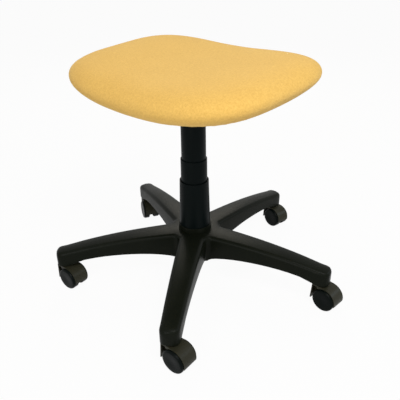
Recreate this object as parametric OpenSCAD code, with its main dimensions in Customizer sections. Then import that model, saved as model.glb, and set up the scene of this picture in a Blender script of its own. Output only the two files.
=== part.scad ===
// Rolling stool: dished upholstered seat on a gas-lift column, five-arm moulded base,
// hooded twin-wheel casters. Millimetres, +Z up, floor at z = 0, column on the Z axis,
// seat front towards -Y, release lever towards -X (the sitter's right hand).

/* [Seat cushion] */
// Width of the cushion, side to side
seat_w = 492; // [420:1:560]
// Depth of the cushion, front to back
seat_d = 359; // [320:1:420]
// How far the cushion's centre lies in front of the column
seat_forward = 10.5; // [0:0.5:20]
// Height of the crown above the rim line
seat_crown = 46.3; // [35:0.1:60]
// Depth of the rounded edge below the rim line
seat_under = 35.4; // [28:0.1:42]
// Rise of the rim line at the two sides
side_lift = 27.4; // [10:0.1:40]
// Fall of the rim line from centre to front, and rise to the back
front_fall = 14; // [4:0.1:20]
// Extra upturn of the rear edge
rear_lift = 12; // [0:0.1:20]
// Upturn that rounds off the front corners' fall
front_flick = 10.7; // [0:0.1:16]
// Height of the rim line's centre above the board's underside
rim_over_board = 26.9; // [22:0.1:34]
// Thickness of the fabric with its backing
cover_t = 1.8; // [1:0.1:3]
// Width of the fabric turned in under the board
cover_turn_in = 22; // [14:1:30]
// Thickness of the moulded plywood board
board_t = 12; // [9:0.5:15]
// Thickness of the black dust cover under the board
dust_cover_t = 0.8; // [0.5:0.1:1.5]

/* [Seat plate and lever] */
// Length of the pressed plate, side to side
plate_w = 170; // [162:1:184]
// Width of the pressed plate, front to back
plate_d = 140; // [130:1:150]
// Depth of the pressed tray from flange top to floor underside
plate_depth = 28; // [24:0.5:34]
// Thickness of the plate's steel
plate_t = 2.5; // [2:0.1:3]
// Width of the flange that is screwed to the board
plate_flange = 20; // [18:0.5:24]
// Screw spacing, side to side
screw_pitch_x = 150; // [148:0.5:152]
// Screw spacing, front to back
screw_pitch_y = 100; // [80:1:104]
// Diameter of the seat screws
screw_d = 6; // [5:0.5:8]
// Diameter of the lever rod
lever_d = 8; // [6:0.5:9]
// Length of the lever from its pivot to the handle's end
lever_reach = 186; // [160:1:200]
// Length of the moulded handle
handle_l = 88; // [70:1:100]
// Width of the moulded handle
handle_w = 30; // [22:1:36]
// Thickness of the moulded handle
handle_t = 10; // [9:0.5:12]

/* [Gas lift] */
// Diameter of the outer column tube
tube_d = 50; // [50:0.5:50.5]
// How much shorter the column tube is than the cylinder
tube_short = 33; // [25:1:55]
// Wall of the outer column tube
tube_wall = 1.5; // [1.2:0.1:2]
// Diameter of the pressure cylinder
cylinder_d = 28; // [27:0.1:29]
// Length of the pressure cylinder
cylinder_l = 245; // [235:1:255]
// Wall of the pressure cylinder
cylinder_wall = 2; // [1.5:0.1:2.5]
// Diameter of the piston rod
rod_d = 10; // [9:0.5:11]
// Full stroke of the lift
stroke = 130; // [110:1:130]
// How far the lift is drawn out in the stored pose
lift_drawn = 85; // [60:1:90]
// Half angle of the self-locking tapers, degrees
taper_deg = 1.436; // [1.3:0.001:1.5]
// Length of the taper in the base hub
hub_taper_l = 60; // [50:1:62]
// Length of the taper in the seat plate's socket
socket_taper_l = 28; // [24:1:32]

/* [Telescopic cover] */
// Outer diameter of the upper sleeve at its top
upper_top_d = 52.6; // [52.4:0.1:53]
// Outer diameter of the upper sleeve at its foot
upper_foot_d = 54; // [53.6:0.1:54.2]
// Length of the upper sleeve
upper_l = 150; // [140:1:152]
// Wall of the upper sleeve
upper_wall = 1; // [0.8:0.1:1.1]
// Outer diameter of the middle sleeve at its top
middle_top_d = 57.8; // [57.4:0.1:58.2]
// Outer diameter of the middle sleeve at its foot
middle_foot_d = 58.6; // [58.2:0.1:59]
// Length of the middle sleeve
middle_l = 118; // [112:1:122]
// Wall of the middle sleeve
middle_wall = 1.2; // [1:0.1:1.3]
// Outer diameter of the lower sleeve at its top
lower_top_d = 64.6; // [64.2:0.1:65]
// Outer diameter of the lower sleeve at its foot
lower_foot_d = 70.6; // [70:0.1:71]
// Length of the lower sleeve
lower_l = 118.2; // [112:0.2:122]
// Wall of the lower sleeve
lower_wall = 1.5; // [1.2:0.1:1.8]

/* [Base] */
// Radius of the circle of caster stems
stem_circle_r = 300; // [270:1:330]
// Length of each arm beyond its caster stem
tip_overhang = 18; // [17:0.5:22]
// Width of an arm where it leaves the hub
arm_hub_w = 59; // [56:0.5:64]
// Width of an arm at its caster stem
arm_tip_w = 39; // [36:0.5:42]
// Height of the hub
hub_h = 68; // [64:0.5:72]
// How far the arms' tops start below the seat of the cover
arm_drop = 2.5; // [1:0.1:3.5]
// Fall of the arm's top surface from hub to tip, straight part
arm_fall_straight = 5.3; // [3:0.1:8]
// Fall of the arm's top surface from hub to tip, curved part
arm_fall_curved = 19.5; // [14:0.1:24]
// Rise of the arch under each arm
arm_arch = 20; // [14:0.5:24]
// Radius along the arm's long top edges
arm_edge_r = 9; // [6:0.5:10]
// Radius of the concave corner between two arms
root_r = 12; // [8:0.5:16]
// Wall of the moulded arms
arm_wall = 3.6; // [3:0.1:4.5]
// Thickness of the ribs under the arms
rib_t = 2.6; // [2:0.1:3.2]
// Outer diameter of the ring round the cover's foot
collar_d = 74.6; // [74:0.1:76]
// Height of that ring above the hub
collar_h = 10.6; // [8:0.2:13]

/* [Casters] */
// Wheel diameter
wheel_d = 50; // [48:0.5:52]
// Overall width of the twin wheels
twin_w = 43.6; // [42:0.2:46]
// Height of the arm's seat above the floor
caster_h = 56; // [55:0.5:60]
// Distance of the axle behind the swivel axis
trail = 19.5; // [18:0.5:22]
// Width of the hood
hood_w = 34; // [32:0.2:35]
// Wall of the hood
hood_wall = 1.5; // [1.2:0.1:1.8]
// Thickness of the web between the wheels
web_t = 11.2; // [11:0.1:11.6]
// Diameter of the caster stem
stem_d = 11; // [10.5:0.1:11.4]
// Length of the stem inside the arm
stem_l = 22; // [18:0.5:23]
// Diameter of the axle
axle_d = 6; // [5:0.5:7]

/* [Hidden] */
$fn = 64;

// clearances and small sizes shared by many pieces
slip = 0.05;         // radial running clearance of a shaft in its bore
fit_gap = 0.3;       // gap between pieces that only lie against each other
taper_gap = 0.03;    // radial gap kept between two cones that wedge together
long_slip = 0.075;   // radial running clearance in a long bore
foam_gap = 0.8;      // gap between the foam's facets and the board's
over = 1;            // overrun of a cut past the face that it opens

// base: heights and the arm's place and directions
arm_count = 5;
first_arm_deg = 90;
hub_sink = 6;                                 // hub foot below the arms' caster seats
hub_foot_z = caster_h - hub_sink;
hub_top_z = hub_foot_z + hub_h;
hub_skin = 5;                                 // thickness of the hub's top
hub_ring_wall = 6;                            // wall of the taper socket
arm_top_wall = 4;
tip_end_r = 12;                               // plan radius of the arm's end corners
tip_top_r = 8;                                // roundness of the arm's end over its top edge
arm_crown = 1;                                // crown across the arm's top surface
tip_edge_share = 0.85;                        // edge radius at the tip over the half width
edge_steps = 4;
hub_dish = 3;                                 // fall of the hub's top under the cover
foot_crown = 1;                               // crown across the arch under an arm
arch_crown_rate = 6;                          // how soon that crown is reached
arch_start_r = 45;
arch_end_back = 10;                           // the arch ends this far before the stem
arch_shape = 0.6;
fall_power = 2.5;
tip_x = stem_circle_r + tip_overhang;

// casters: direction of each trail in the stored pose, degrees, as they happen to stand
caster_names = ["rear", "right", "front_right", "front_left", "left"];
trail_dirs = [-8, -27, 7.4, 5.7, -1.8];

wheel_r = wheel_d / 2;
wheel_gap = 0.6;                              // room between a wheel and its hood or web
wheel_in_y = web_t / 2 + wheel_gap;           // inner face of a wheel beside the web
wheel_out_y = twin_w / 2;
cavity_r = wheel_r + wheel_gap;               // hollow for the wheel under the hood
hood_r = cavity_r + hood_wall;
hood_top_gap = 2.6;                           // stem flange between hood and arm
hood_top_z = caster_h - hood_top_gap;

// lift stack, from the tube's foot upwards
tube_foot_stand = 2;                          // tube's foot above the hub's
tube_foot_z = hub_foot_z + tube_foot_stand;
tube_l = cylinder_l - tube_short;
tube_top_z = tube_foot_z + tube_l;
tube_r = tube_d / 2;
tube_floor_t = 3;
washer_t = 1.5;
bearing_h = 4;
bumper_h = 10;
end_gap = 0.5;
lower_washer_z = tube_foot_z + tube_floor_t;
bearing_z = lower_washer_z + washer_t;
upper_washer_z = bearing_z + bearing_h;
bumper_z = upper_washer_z + washer_t;
cylinder_low_z = bumper_z + bumper_h + end_gap;
cylinder_z = cylinder_low_z + lift_drawn;
cylinder_top_z = cylinder_z + cylinder_l;
cylinder_r = cylinder_d / 2;
socket_stand = 8.5;                           // cylinder top above the plate's underside
plate_z = cylinder_top_z - socket_stand;
board_z = plate_z + plate_depth;              // underside of the board's flat middle
rim_z = board_z + rim_over_board;

// cushion outline and section shares
squareness = 3.28;
crown_power = 3.95;
edge_power = 3;
rear_start_share = 0.1;
front_start_share = 0.41;
edge_share = 0.9;                             // where the fabric rounds the board's edge
flat_share = 0.46;                            // flat middle of the board
board_share = 0.885;
foam_edge_share = 0.893;
sectors = 40;
top_shares = [0.2, 0.38, 0.54, 0.68, 0.79, 0.875, 0.935, 0.975, 1];
low_shares = [0.985, 0.95, 0.92];
board_shares = [0.25, flat_share, 0.6, 0.7, 0.8, board_share];
dust_shares = [0.25, flat_share, 0.6, 0.7, 0.8, 0.86];
seat_a = seat_w / 2;
seat_b = seat_d / 2;

// colours
fabric_colour = [0.93, 0.75, 0.42];
nylon_colour = [0.09, 0.09, 0.085];
sleeve_colour = [0.06, 0.07, 0.07];
wheel_colour = [0.11, 0.11, 0.12];

function mix(a, b, t) = a + (b - a) * t;
function clamped(t) = max(0, min(1, t));

// one closed skin over a stack of rings, each ring a list of as many points
module skin(rings) {
    per = len(rings[0]);
    last = len(rings) - 1;
    points = [for (ring = rings) each ring];
    sides = [for (i = [0 : last - 1], j = [0 : per - 1])
        let (k = (j + 1) % per,
             a = i * per + j, b = i * per + k, c = (i + 1) * per + k, d = (i + 1) * per + j)
        each [[a, c, b], [a, d, c]]];
    first_cap = [for (j = [1 : per - 2]) [0, j, j + 1]];
    last_cap = [for (j = [1 : per - 2]) [last * per, last * per + j + 1, last * per + j]];
    polyhedron(points = points, faces = concat(sides, first_cap, last_cap), convexity = 8);
}

// one closed skin over rings that end in a single point at each end
module domed_skin(first_point, rings, last_point) {
    per = len(rings[0]);
    count = len(rings);
    tail = count * per + 1;
    points = concat([first_point], [for (ring = rings) each ring], [last_point]);
    first_fan = [for (j = [0 : per - 1]) [0, 1 + j, 1 + (j + 1) % per]];
    last_fan = [for (j = [0 : per - 1])
        let (base = 1 + (count - 1) * per) [tail, base + (j + 1) % per, base + j]];
    sides = [for (i = [0 : count - 2], j = [0 : per - 1])
        let (k = (j + 1) % per,
             a = 1 + i * per + j, b = 1 + i * per + k,
             c = 1 + (i + 1) * per + k, d = 1 + (i + 1) * per + j)
        each [[a, c, b], [a, d, c]]];
    polyhedron(points = points, faces = concat(first_fan, sides, last_fan), convexity = 8);
}

module ring(r_out, r_in, h) {
    difference() {
        cylinder(r = r_out, h = h);
        translate([0, 0, -over]) cylinder(r = r_in, h = h + 2 * over);
    }
}

module rounded_plate(w, d, r, h) {
    linear_extrude(h) {
        square([w - 2 * r, d], center = true);
        square([w, d - 2 * r], center = true);
        for (sx = [-1, 1], sy = [-1, 1])
            translate([sx * (w / 2 - r), sy * (d / 2 - r)]) circle(r);
    }
}

// Cushion surfaces. The outline is a superellipse; u runs to the sides and v to the
// front, both -1 to 1, and a share is the distance from the middle to the rim.
function reach(phi) =
    1 / pow(pow(abs(cos(phi)), squareness) + pow(abs(sin(phi)), squareness), 1 / squareness);
function u_of(phi, share) = share * reach(phi) * cos(phi);
function v_of(phi, share) = share * reach(phi) * sin(phi);
function rim_height(u, v) = rim_z + side_lift * u * u - front_fall * v
    + rear_lift * pow(max(-v - rear_start_share, 0), 2)
    + front_flick * pow(max((v - front_start_share) / (1 - front_start_share), 0), 2);
function top_height(phi, share, inset) =
    rim_height(u_of(phi, share), v_of(phi, share))
    + (seat_crown - inset) * sqrt(max(1 - pow(share, crown_power), 0));
function low_height(phi, share, inset) =
    rim_height(u_of(phi, share), v_of(phi, share))
    - (seat_under - inset) * sqrt(max(1 - pow(share, edge_power), 0));
skin_z = board_z - cover_t - fit_gap;         // fabric's outer face under the flat middle
function under_height(phi, share) =
    mix(skin_z, low_height(phi, edge_share, 0),
        pow(max((share - flat_share) / (edge_share - flat_share), 0), 2));
function seat_point(phi, share, inset, z) =
    [(seat_a - inset) * u_of(phi, share), -seat_forward - (seat_b - inset) * v_of(phi, share), z];
angles = [for (k = [0 : sectors - 1]) 360 * k / sectors];
function top_ring(share, inset) =
    [for (p = angles) seat_point(p, share, inset, top_height(p, share, inset))];
function low_ring(share, inset) =
    [for (p = angles) seat_point(p, share, inset, low_height(p, share, inset))];
function under_ring(share, inset, lift) =
    [for (p = angles) seat_point(p, share, inset, under_height(p, share) + lift)];
function reversed(list) = [for (i = [len(list) - 1 : -1 : 0]) list[i]];

turn_in_share = edge_share - cover_turn_in / seat_a;
turn_in_shares = [mix(edge_share, turn_in_share, 0.5), turn_in_share];
board_top_lift = cover_t + fit_gap + board_t;
foam_inset = cover_t + fit_gap;

// fabric cover, pulled over the foam and stapled under the board
module seat_cover() {
    outer = concat([for (s = top_shares) top_ring(s, 0)],
        [for (s = low_shares) low_ring(s, 0)], [low_ring(edge_share, 0)],
        [for (s = turn_in_shares) under_ring(s, 0, 0)]);
    inner = concat([for (s = top_shares) top_ring(s, cover_t)],
        [for (s = low_shares) low_ring(s, cover_t)],
        [under_ring(edge_share, 0, cover_t)],
        [for (s = turn_in_shares) under_ring(s, 0, cover_t)]);
    crown = [0, -seat_forward, top_height(0, 0, 0)];
    color(fabric_colour)
        domed_skin(crown, concat(outer, reversed(inner)), crown - [0, 0, cover_t]);
}

// moulded foam, glued to the board and wrapped round its edge
module foam_pad() {
    rings = concat([for (s = top_shares) top_ring(s, foam_inset)],
        [for (s = low_shares) low_ring(s, foam_inset)],
        [under_ring(foam_edge_share, 0, foam_inset)],
        [under_ring(foam_edge_share, 0, board_top_lift + foam_gap)],
        [for (s = reversed(board_shares)) under_ring(s, 0, board_top_lift + foam_gap)]);
    crown = [0, -seat_forward, top_height(0, 0, foam_inset)];
    floor_point = [0, -seat_forward, skin_z + board_top_lift + foam_gap];
    color([0.94, 0.9, 0.78]) domed_skin(crown, rings, floor_point);
}

nut_flange_d = 19;
nut_flange_t = 1.2;
nut_barrel_d = 8;
nut_barrel_l = 9;
board_top_z = board_z + board_t;

module at_screws() {
    for (sx = [-1, 1], sy = [-1, 1])
        translate([sx * screw_pitch_x / 2, sy * screw_pitch_y / 2, 0]) children();
}

// moulded plywood board: flat in the middle, turned up towards its edge
module seat_board() {
    color([0.78, 0.62, 0.42]) difference() {
        domed_skin([0, -seat_forward, board_z + board_t],
            concat([for (s = board_shares) under_ring(s, 0, board_top_lift)],
                [for (s = reversed(board_shares)) under_ring(s, 0, cover_t + fit_gap)]),
            [0, -seat_forward, board_z]);
        at_screws() {
            translate([0, 0, board_z - over])
                cylinder(d = screw_d + 2 * fit_gap, h = board_t + 2 * over);
            translate([0, 0, board_top_z - nut_barrel_l - fit_gap])
                cylinder(d = nut_barrel_d + 2 * slip, h = nut_barrel_l + fit_gap + over);
            translate([0, 0, board_top_z - nut_flange_t])
                cylinder(d = nut_flange_d + 2 * fit_gap, h = nut_flange_t + over);
        }
    }
}

dust_gap = 0.4;                               // gap between the fabric and the dust cover
dust_cut_gap = 1;                             // gap round the plate

// thin black cloth stapled over the turned-in fabric, cut out round the plate
module dust_cover() {
    drop = -dust_gap;
    color([0.1, 0.1, 0.1]) difference() {
        domed_skin([0, -seat_forward, skin_z + drop],
            concat([for (s = dust_shares) under_ring(s, 0, drop)],
                [for (s = reversed(dust_shares)) under_ring(s, 0, drop - dust_cover_t)]),
            [0, -seat_forward, skin_z + drop - dust_cover_t]);
        translate([0, 0, skin_z + drop - dust_cover_t - over])
            rounded_plate(plate_w + 2 * dust_cut_gap, plate_d + 2 * dust_cut_gap,
                plate_corner_r, dust_cover_t + 2 * over);
    }
}

// four flanged nuts driven into the board from above
module tee_nuts() {
    color("silver") at_screws() difference() {
        union() {
            translate([0, 0, board_top_z - nut_barrel_l])
                cylinder(d = nut_barrel_d, h = nut_barrel_l);
            translate([0, 0, board_top_z - nut_flange_t])
                cylinder(d = nut_flange_d, h = nut_flange_t);
        }
        translate([0, 0, board_top_z - nut_barrel_l - over])
            cylinder(d = screw_d + 2 * slip, h = nut_barrel_l + 2 * over);
    }
}

screw_head_share = 2;                         // head diameter to screw diameter
screw_head_h_share = 0.55;
screw_crown_share = 0.6;                      // flat of the head to its diameter
screw_socket_share = 0.67;
screw_tip_gap = 1;                            // screw's end below the board's top
screw_l = plate_t + board_t - screw_tip_gap;

// button-head screws that hold the plate to the board
module plate_screws() {
    head_d = screw_d * screw_head_share;
    head_h = screw_d * screw_head_h_share;
    seat = board_z - plate_t;
    color([0.25, 0.25, 0.26]) at_screws() difference() {
        union() {
            translate([0, 0, seat]) cylinder(d = screw_d, h = screw_l);
            translate([0, 0, seat - head_h])
                cylinder(d1 = head_d * screw_crown_share, d2 = head_d, h = head_h);
        }
        translate([0, 0, seat - head_h - over])
            cylinder(d = screw_d * screw_socket_share, h = head_h / 2 + over, $fn = 6);
    }
}

plate_corner_r = 12;
socket_wall = 3.5;
socket_r = cylinder_r + socket_wall;
socket_drop = 2;                              // socket's top below the cylinder's
socket_top_z = cylinder_top_z - socket_drop;
socket_foot_z = cylinder_top_z - socket_taper_l;
taper_slope = tan(taper_deg);
function cylinder_cone_r(z) = cylinder_r - taper_slope * max(0, z - socket_foot_z);

// the release lever: pivot place and shape
lever_pivot_x = -45;                          // pivot beside the cylinder
pin_stand = 5.2;                              // release pin above the cylinder's top
lever_z = cylinder_top_z + pin_stand + fit_gap + lever_d / 2;
lever_droop_deg = 7;                          // outer part slopes down at rest
lever_lift_deg = 6;                           // travel of the lever
lever_pin_d = 5;
lever_boss_d = 12;
lever_boss_w = 14;
ear_t = 2.5;
ear_w = 14;
slot_side_gap = 2;                            // room beside the lever in the tray's wall
slot_lift_gap = 5;                            // and for its lift
slot_drop = 1;                                // slot's middle below the lever's pivot
slot_w = lever_d + 2 * slot_side_gap;
slot_h = lever_d + slot_lift_gap;

module plate_tray_outline(inset, h) {
    rounded_plate(plate_w - 2 * plate_flange - 2 * inset, plate_d - 2 * plate_flange - 2 * inset,
        plate_corner_r - inset, h);
}

// pressed steel tray with a flange, two lever ears and the welded taper socket
module seat_plate() {
    wall_x = plate_w / 2 - plate_flange;
    color([0.12, 0.12, 0.13]) difference() {
        union() {
            difference() {
                union() {
                    translate([0, 0, plate_z]) plate_tray_outline(0, plate_depth);
                    translate([0, 0, board_z - plate_t])
                        rounded_plate(plate_w, plate_d, plate_corner_r, plate_t);
                }
                translate([0, 0, plate_z + plate_t])
                    plate_tray_outline(plate_t, plate_depth);
            }
            translate([0, 0, socket_foot_z])
                cylinder(r = socket_r, h = socket_top_z - socket_foot_z);
            for (side = [-1, 1])
                translate([lever_pivot_x - ear_w / 2,
                    side * (lever_boss_w / 2 + fit_gap + ear_t / 2) - ear_t / 2, plate_z])
                    cube([ear_w, ear_t, lever_z + lever_boss_d / 2 - plate_z]);
        }
        translate([0, 0, socket_foot_z - over])
            cylinder(r = cylinder_r + taper_gap + taper_slope * over, h = 2 * over);
        translate([0, 0, socket_foot_z])
            cylinder(r1 = cylinder_cone_r(socket_foot_z) + taper_gap,
                r2 = cylinder_cone_r(socket_top_z + over) + taper_gap,
                h = socket_top_z - socket_foot_z + over);
        at_screws() translate([0, 0, board_z - plate_t - over])
            cylinder(d = screw_d + 2 * fit_gap, h = plate_t + 2 * over);
        translate([lever_pivot_x, 0, lever_z]) rotate([90, 0, 0])
            cylinder(d = lever_pin_d + 2 * slip, h = lever_boss_w + 4 * ear_t, center = true);
        translate([-wall_x - over, -slot_w / 2, lever_z - slot_h / 2 - slot_drop])
            cube([plate_t + 2 * over, slot_w, slot_h]);
    }
}

pin_end_l = 1;                                // pin beyond each ear

// pin that the lever rocks on
module lever_pin() {
    len_y = lever_boss_w + 2 * (fit_gap + ear_t + pin_end_l);
    color("silver") translate([lever_pivot_x, 0, lever_z]) rotate([90, 0, 0])
        cylinder(d = lever_pin_d, h = len_y, center = true);
}

// places the lever's outer part: pivot at the origin, rod running to -X and down
module along_lever() {
    translate([lever_pivot_x, 0, lever_z]) rotate([0, -90 - lever_droop_deg, 0]) children();
}

grip_overlap = 40;                            // rod inside the handle
rod_out_l = lever_reach - handle_l + grip_overlap;
lever_nose = 4;                               // rod past the release pin's axis

// bent steel rod that presses the release pin
module lever_rod() {
    color([0.16, 0.16, 0.17]) difference() {
        union() {
            along_lever() cylinder(d = lever_d, h = rod_out_l);
            translate([lever_pivot_x, 0, lever_z]) rotate([0, 90, 0])
                cylinder(d = lever_d, h = lever_nose - lever_pivot_x);
            translate([lever_pivot_x, 0, lever_z]) rotate([90, 0, 0])
                cylinder(d = lever_boss_d, h = lever_boss_w, center = true);
        }
        translate([lever_pivot_x, 0, lever_z]) rotate([90, 0, 0])
            cylinder(d = lever_pin_d + 2 * slip, h = lever_boss_w + 2 * over, center = true);
    }
}

handle_neck_d = 13;
handle_neck_l = 1;
handle_edge_r_share = 0.42;                   // edge radius to handle thickness
paddle_share = 0.55;                          // flat paddle's length to the handle's

// flat moulded paddle on the lever's end
module lever_handle() {
    tip_r = handle_w / 2;
    edge_r = handle_t * handle_edge_r_share;
    paddle_start = lever_reach - handle_l * paddle_share;
    color([0.07, 0.07, 0.07]) difference() {
        along_lever() union() {
            hull() for (z = [lever_reach - tip_r, paddle_start])
                translate([0, 0, z]) rotate([0, 90, 0]) {
                    cylinder(r = tip_r - edge_r, h = handle_t, center = true, $fn = 32);
                    cylinder(r = tip_r, h = handle_t - 2 * edge_r, center = true, $fn = 32);
                }
            hull() {
                translate([0, 0, lever_reach - handle_l])
                    cylinder(d = handle_neck_d, h = handle_neck_l, $fn = 32);
                translate([0, 0, paddle_start]) rotate([0, 90, 0])
                    cylinder(r = tip_r - edge_r, h = handle_t, center = true, $fn = 32);
            }
        }
        along_lever() translate([0, 0, lever_reach - handle_l - over])
            cylinder(d = lever_d + 2 * slip, h = grip_overlap + 2 * over);
    }
}

cylinder_head = 30;                           // solid head that holds the valve
release_pin_d = 8;
pin_flat_d = 3;
pin_dome_h = 2;
pin_l = 26;
guide_l = 20;

// pressure cylinder with the taper that wedges in the seat plate
module gas_cylinder() {
    color([0.1, 0.1, 0.11]) difference() {
        union() {
            translate([0, 0, cylinder_z])
                cylinder(r = cylinder_r, h = socket_foot_z - cylinder_z);
            translate([0, 0, socket_foot_z])
                cylinder(r1 = cylinder_r, r2 = cylinder_cone_r(cylinder_top_z),
                    h = socket_taper_l);
        }
        translate([0, 0, cylinder_z - over])
            cylinder(r = cylinder_r - cylinder_wall, h = cylinder_l - cylinder_head + over);
        translate([0, 0, cylinder_top_z - pin_l])
            cylinder(d = release_pin_d + 2 * slip, h = pin_l + over);
    }
}

// guide and seal package in the cylinder's lower end
module rod_guide() {
    color([0.3, 0.3, 0.3]) translate([0, 0, cylinder_z])
        ring(cylinder_r - cylinder_wall - slip, rod_d / 2 + slip, guide_l);
}

// pin that opens the valve when the lever presses it
module release_pin() {
    color("silver") {
        translate([0, 0, cylinder_top_z + pin_stand - pin_l + end_gap + pin_stand])
            cylinder(d = release_pin_d, h = pin_l - pin_dome_h - end_gap - pin_stand);
        translate([0, 0, cylinder_top_z + pin_stand - pin_dome_h])
            cylinder(d1 = release_pin_d, d2 = pin_flat_d, h = pin_dome_h);
    }
}

function tube_out_r(z) =
    tube_r - taper_slope * max(0, tube_foot_z + hub_taper_l - z);

// outer tube, tapered at its foot, with a pressed floor
module column_tube() {
    taper_top_z = tube_foot_z + hub_taper_l;
    floor_z = tube_foot_z + tube_floor_t;
    rod_end_r = rod_end_d / 2 + slip;
    color([0.1, 0.1, 0.11]) difference() {
        union() {
            translate([0, 0, tube_foot_z])
                cylinder(r1 = tube_out_r(tube_foot_z), r2 = tube_r, h = hub_taper_l);
            translate([0, 0, taper_top_z]) cylinder(r = tube_r, h = tube_top_z - taper_top_z);
        }
        rotate_extrude() polygon([[0, floor_z], [tube_out_r(tube_foot_z) - tube_wall, floor_z],
            [tube_r - tube_wall, taper_top_z + tube_floor_t],
            [tube_r - tube_wall, tube_top_z + over], [0, tube_top_z + over]]);
        translate([0, 0, tube_foot_z - over]) cylinder(r = rod_end_r, h = tube_floor_t + 2 * over);
    }
}

bush_l = 62;
bush_flange_t = 2.5;
bush_sleeve_t = 2.5;
bush_land_h = 6;
bush_rim_inset = 0.1;                         // flange inside the tube's outline

// plastic liner that guides the cylinder in the tube
module guide_bush() {
    bore_r = cylinder_r + long_slip;
    body_r = tube_r - tube_wall - slip;
    foot = tube_top_z - bush_l;
    color([0.75, 0.73, 0.68]) difference() {
        union() {
            translate([0, 0, foot]) cylinder(r = bore_r + bush_sleeve_t, h = bush_l);
            for (z = [foot, mix(foot, tube_top_z - bush_land_h, 0.5), tube_top_z - bush_land_h])
                translate([0, 0, z]) cylinder(r = body_r, h = bush_land_h);
            translate([0, 0, tube_top_z]) cylinder(r = tube_r - bush_rim_inset, h = bush_flange_t);
        }
        translate([0, 0, foot - over])
            cylinder(r = bore_r, h = bush_l + bush_flange_t + 2 * over);
    }
}

rod_end_d = 8;
rod_end_drop = 1.8;                           // rod's end below the tube's floor
groove_d = 6.6;
clip_t = 0.8;
clip_stand = 2;                               // clip's rim beyond the rod's surface
clip_z = tube_foot_z - clip_t - slip * 2;
piston_h = 10;
cylinder_high_z = cylinder_low_z + stroke;
piston_room = 1;                              // piston above the guide at full height
piston_z = cylinder_high_z + guide_l + piston_room;

// piston rod, held in the tube's floor by its clip
module piston_rod() {
    color("silver") difference() {
        union() {
            translate([0, 0, tube_foot_z - rod_end_drop])
                cylinder(d = rod_end_d, h = bumper_z - tube_foot_z + rod_end_drop);
            translate([0, 0, bumper_z]) cylinder(d = rod_d, h = piston_z - bumper_z);
        }
        translate([0, 0, clip_z - slip]) ring(rod_end_d, groove_d / 2, clip_t + 2 * slip);
    }
}

// piston on the rod's upper end
module piston() {
    color([0.6, 0.6, 0.62]) translate([0, 0, piston_z])
        cylinder(r = cylinder_r - cylinder_wall - long_slip, h = piston_h);
}

bumper_d = 24;
washer_d = 26;

// rubber buffer that stops the cylinder at the bottom of its stroke
module bumper() {
    color([0.15, 0.15, 0.15]) translate([0, 0, bumper_z])
        ring(bumper_d / 2, rod_d / 2 + slip, bumper_h);
}

module upper_washer() {
    color("silver") translate([0, 0, upper_washer_z])
        ring(washer_d / 2, rod_end_d / 2 + slip, washer_t);
}

module lower_washer() {
    color("silver") translate([0, 0, lower_washer_z])
        ring(washer_d / 2, rod_end_d / 2 + 2 * slip, washer_t);
}

ball_count = 10;
ball_d = bearing_h - 2 * slip;
ball_circle_r = 8.4;
cage_t = 1.6;
cage_inset = 1;                               // cage inside the washers' edges

// balls in their cage, which let the column turn
module thrust_bearing() {
    color([0.7, 0.66, 0.5]) {
        translate([0, 0, bearing_z + (bearing_h - cage_t) / 2]) difference() {
            ring(washer_d / 2 - cage_inset, rod_end_d / 2 + cage_inset, cage_t);
            for (k = [0 : ball_count - 1]) rotate([0, 0, 360 * k / ball_count])
                translate([ball_circle_r, 0, -over])
                    cylinder(d = ball_d + 2 * slip, h = cage_t + 2 * over);
        }
        for (k = [0 : ball_count - 1]) rotate([0, 0, 360 * k / ball_count])
            translate([ball_circle_r, 0, bearing_z + bearing_h / 2]) sphere(d = ball_d, $fn = 32);
    }
}

// spring clip in the rod's groove under the tube's floor
module retaining_clip() {
    color([0.3, 0.3, 0.32]) translate([0, 0, clip_z]) difference() {
        ring(rod_end_d / 2 + clip_stand, groove_d / 2 + slip, clip_t);
        translate([0, -rod_end_d / 4, -over]) cube([rod_end_d, rod_end_d / 2, clip_t + 2 * over]);
    }
}

// one slightly conical sleeve of the telescopic cover
module sleeve(foot_d, top_d, wall, l) {
    difference() {
        cylinder(d1 = foot_d, d2 = top_d, h = l);
        translate([0, 0, -over])
            cylinder(d1 = foot_d - 2 * wall + over * (foot_d - top_d) / l,
                d2 = top_d - 2 * wall - over * (foot_d - top_d) / l, h = l + 2 * over);
    }
}

upper_web_t = 2.5;

// upper sleeve, held on the plate's socket by its top web
module cover_upper() {
    color(sleeve_colour) translate([0, 0, plate_z - upper_l]) {
        sleeve(upper_foot_d, upper_top_d, upper_wall, upper_l);
        translate([0, 0, upper_l - upper_web_t])
            ring(upper_top_d / 2 - upper_wall / 2, socket_r + slip, upper_web_t);
    }
}

middle_follow_share = 0.5;                    // middle sleeve's travel to the seat's
middle_park = 8.4;                            // its foot above the hub when fully lowered
middle_z = hub_top_z + middle_park + middle_follow_share * lift_drawn;
bead_h = 3;
bead_taper_h = 2;
lip_h = 3;
function lower_bore_r(z) = mix(lower_foot_d, lower_top_d, (z - hub_top_z) / lower_l) / 2
    - lower_wall;
middle_high_z = middle_z + middle_follow_share * (stroke - lift_drawn);

// middle sleeve, with a guiding bead at its foot and an inner lip at its top
module cover_middle() {
    bead_r = lower_bore_r(middle_high_z + bead_h) - fit_gap;
    lip_r = upper_foot_d / 2 + fit_gap;
    color(sleeve_colour) translate([0, 0, middle_z]) {
        sleeve(middle_foot_d, middle_top_d, middle_wall, middle_l);
        difference() {
            union() {
                cylinder(r = bead_r, h = bead_h);
                translate([0, 0, bead_h])
                    cylinder(r1 = bead_r, r2 = middle_foot_d / 2 - middle_wall / 2,
                        h = bead_taper_h);
            }
            translate([0, 0, -over])
                cylinder(r = middle_foot_d / 2 - middle_wall / 2, h = bead_h + bead_taper_h + 2 * over);
        }
        translate([0, 0, middle_l - lip_h])
            ring(middle_top_d / 2 - middle_wall / 2, lip_r, lip_h);
    }
}

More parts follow.
